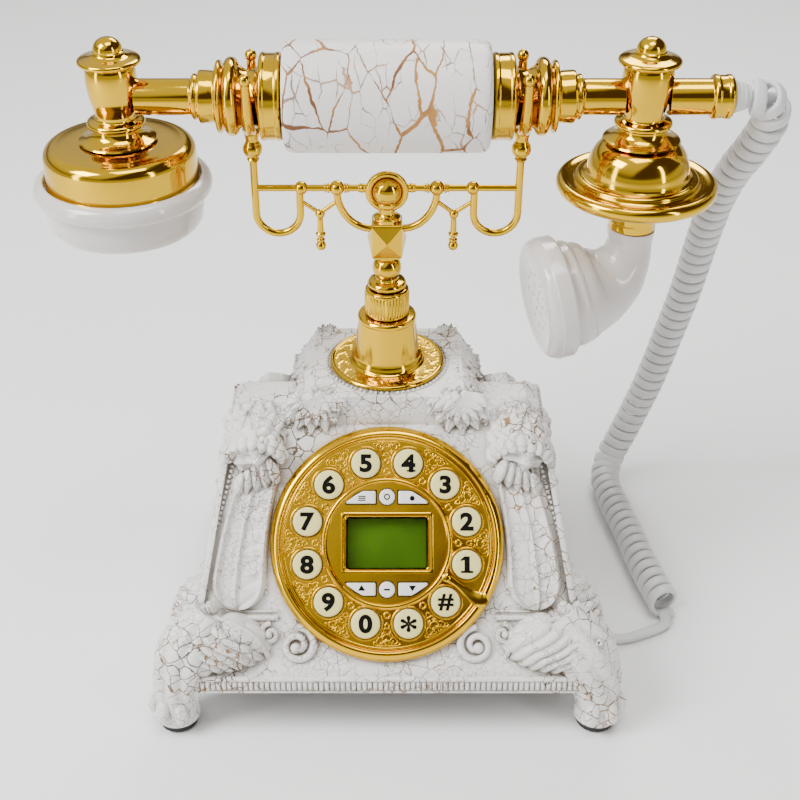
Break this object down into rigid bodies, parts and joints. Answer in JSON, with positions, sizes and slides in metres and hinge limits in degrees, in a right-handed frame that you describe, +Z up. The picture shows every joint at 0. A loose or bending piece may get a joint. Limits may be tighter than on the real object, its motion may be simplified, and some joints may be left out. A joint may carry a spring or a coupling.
{
  "type": "desk telephone",
  "caption": "Antique-style push-button desk telephone: crackle-white cast base, gold column and cradle, turned handset with trumpet mouthpiece, curly cord.",
  "frame": {"origin": "centre of the footprint of the base and handset, on the surface it stands on", "axes": "+X to the right along the handset, seen from the dial; +Y to the back; +Z up"},
  "size_m": [0.2897, 0.2045, 0.2585],
  "materials": {
    "resin": "cast resin, white crackle paint over gold-brown",
    "gold": "polished gold plating",
    "ivory": "glossy warm white",
    "key": "cream key caps with black figures",
    "function_key": "white key caps",
    "rubber": "matt black",
    "dark": "matt black plastic",
    "steel": "zinc-plated",
    "board": "green circuit board",
    "glass": "clear window over the display",
    "display": "green reflective display",
    "mat": "grey silicone",
    "cord": "satin grey-white"
  },
  "bodies": {
    "base": {"base_shell": "resin", "dial_plate": "gold", "finger_stop": "gold", "column_bell": "gold", "column_nut": "gold", "handset_plug": "ivory", "foot_pad_front_left": "rubber", "foot_pad_front_right": "rubber", "foot_pad_back_left": "rubber", "foot_pad_back_right": "rubber", "bottom_plate": "dark", "ringer": "dark", "handset_jack": "dark", "line_jack": "dark", "hook_switch": "dark", "bottom_screw_0": "steel", "bottom_screw_1": "steel", "hook_spring": "steel", "circuit_board": "board", "lcd_window": "glass", "lcd_module": "display", "keypad_mat": "mat", "handset_cord_coil": "cord", "handset_cord_tail": "cord"},
    "cradle": {"cradle_stem": "gold", "cradle_frame": "gold", "cradle_fork_left": "gold", "cradle_fork_right": "gold"},
    "handset": {"handset_grip": "resin", "handset_arm_left": "gold", "handset_arm_right": "gold", "ear_post": "gold", "ear_housing": "gold", "ear_cap": "ivory", "receiver_capsule": "dark", "mouth_post": "gold", "mouth_disc": "gold", "mouth_horn": "ivory", "mouth_cap": "ivory", "microphone": "dark", "cord_bush": "cord"},
    "key_0_body": {"key_0": "key"},
    "key_1_body": {"key_1": "key"},
    "key_2_body": {"key_2": "key"},
    "key_3_body": {"key_3": "key"},
    "key_4_body": {"key_4": "key"},
    "key_5_body": {"key_5": "key"},
    "key_6_body": {"key_6": "key"},
    "key_7_body": {"key_7": "key"},
    "key_8_body": {"key_8": "key"},
    "key_9_body": {"key_9": "key"},
    "key_star_body": {"key_star": "key"},
    "key_hash_body": {"key_hash": "key"},
    "key_top_left_body": {"key_top_left": "function_key"},
    "key_top_middle_body": {"key_top_middle": "function_key"},
    "key_top_right_body": {"key_top_right": "function_key"},
    "key_bottom_left_body": {"key_bottom_left": "function_key"},
    "key_bottom_middle_body": {"key_bottom_middle": "function_key"},
    "key_bottom_right_body": {"key_bottom_right": "function_key"}
  },
  "joints": [
    {"name": "cradle_lift", "type": "slide", "parent": "base", "child": "cradle", "axis": [0, 0, 1], "range_m": [0, 0.004], "stiffness_N_per_m": 150, "springref_m": 0.03, "deforming": ["hook_spring"]},
    {"name": "handset_lift", "type": "slide", "parent": "cradle", "child": "handset", "axis": [0, 0, 1], "range_m": [0, 0.12]},
    {"name": "key_0_press", "type": "slide", "parent": "base", "child": "key_0_body", "axis": [0, 0.766, -0.6428], "range_m": [0, 0.0013], "stiffness_N_per_m": 200},
    {"name": "key_1_press", "type": "slide", "parent": "base", "child": "key_1_body", "axis": [0, 0.766, -0.6428], "range_m": [0, 0.0013], "stiffness_N_per_m": 200},
    {"name": "key_2_press", "type": "slide", "parent": "base", "child": "key_2_body", "axis": [0, 0.766, -0.6428], "range_m": [0, 0.0013], "stiffness_N_per_m": 200},
    {"name": "key_3_press", "type": "slide", "parent": "base", "child": "key_3_body", "axis": [0, 0.766, -0.6428], "range_m": [0, 0.0013], "stiffness_N_per_m": 200},
    {"name": "key_4_press", "type": "slide", "parent": "base", "child": "key_4_body", "axis": [0, 0.766, -0.6428], "range_m": [0, 0.0013], "stiffness_N_per_m": 200},
    {"name": "key_5_press", "type": "slide", "parent": "base", "child": "key_5_body", "axis": [0, 0.766, -0.6428], "range_m": [0, 0.0013], "stiffness_N_per_m": 200},
    {"name": "key_6_press", "type": "slide", "parent": "base", "child": "key_6_body", "axis": [0, 0.766, -0.6428], "range_m": [0, 0.0013], "stiffness_N_per_m": 200},
    {"name": "key_7_press", "type": "slide", "parent": "base", "child": "key_7_body", "axis": [0, 0.766, -0.6428], "range_m": [0, 0.0013], "stiffness_N_per_m": 200},
    {"name": "key_8_press", "type": "slide", "parent": "base", "child": "key_8_body", "axis": [0, 0.766, -0.6428], "range_m": [0, 0.0013], "stiffness_N_per_m": 200},
    {"name": "key_9_press", "type": "slide", "parent": "base", "child": "key_9_body", "axis": [0, 0.766, -0.6428], "range_m": [0, 0.0013], "stiffness_N_per_m": 200},
    {"name": "key_star_press", "type": "slide", "parent": "base", "child": "key_star_body", "axis": [0, 0.766, -0.6428], "range_m": [0, 0.0013], "stiffness_N_per_m": 200},
    {"name": "key_hash_press", "type": "slide", "parent": "base", "child": "key_hash_body", "axis": [0, 0.766, -0.6428], "range_m": [0, 0.0013], "stiffness_N_per_m": 200},
    {"name": "key_top_left_press", "type": "slide", "parent": "base", "child": "key_top_left_body", "axis": [0, 0.766, -0.6428], "range_m": [0, 0.0013], "stiffness_N_per_m": 200},
    {"name": "key_top_middle_press", "type": "slide", "parent": "base", "child": "key_top_middle_body", "axis": [0, 0.766, -0.6428], "range_m": [0, 0.0013], "stiffness_N_per_m": 200},
    {"name": "key_top_right_press", "type": "slide", "parent": "base", "child": "key_top_right_body", "axis": [0, 0.766, -0.6428], "range_m": [0, 0.0013], "stiffness_N_per_m": 200},
    {"name": "key_bottom_left_press", "type": "slide", "parent": "base", "child": "key_bottom_left_body", "axis": [0, 0.766, -0.6428], "range_m": [0, 0.0013], "stiffness_N_per_m": 200},
    {"name": "key_bottom_middle_press", "type": "slide", "parent": "base", "child": "key_bottom_middle_body", "axis": [0, 0.766, -0.6428], "range_m": [0, 0.0013], "stiffness_N_per_m": 200},
    {"name": "key_bottom_right_press", "type": "slide", "parent": "base", "child": "key_bottom_right_body", "axis": [0, 0.766, -0.6428], "range_m": [0, 0.0013], "stiffness_N_per_m": 200}
  ]
}
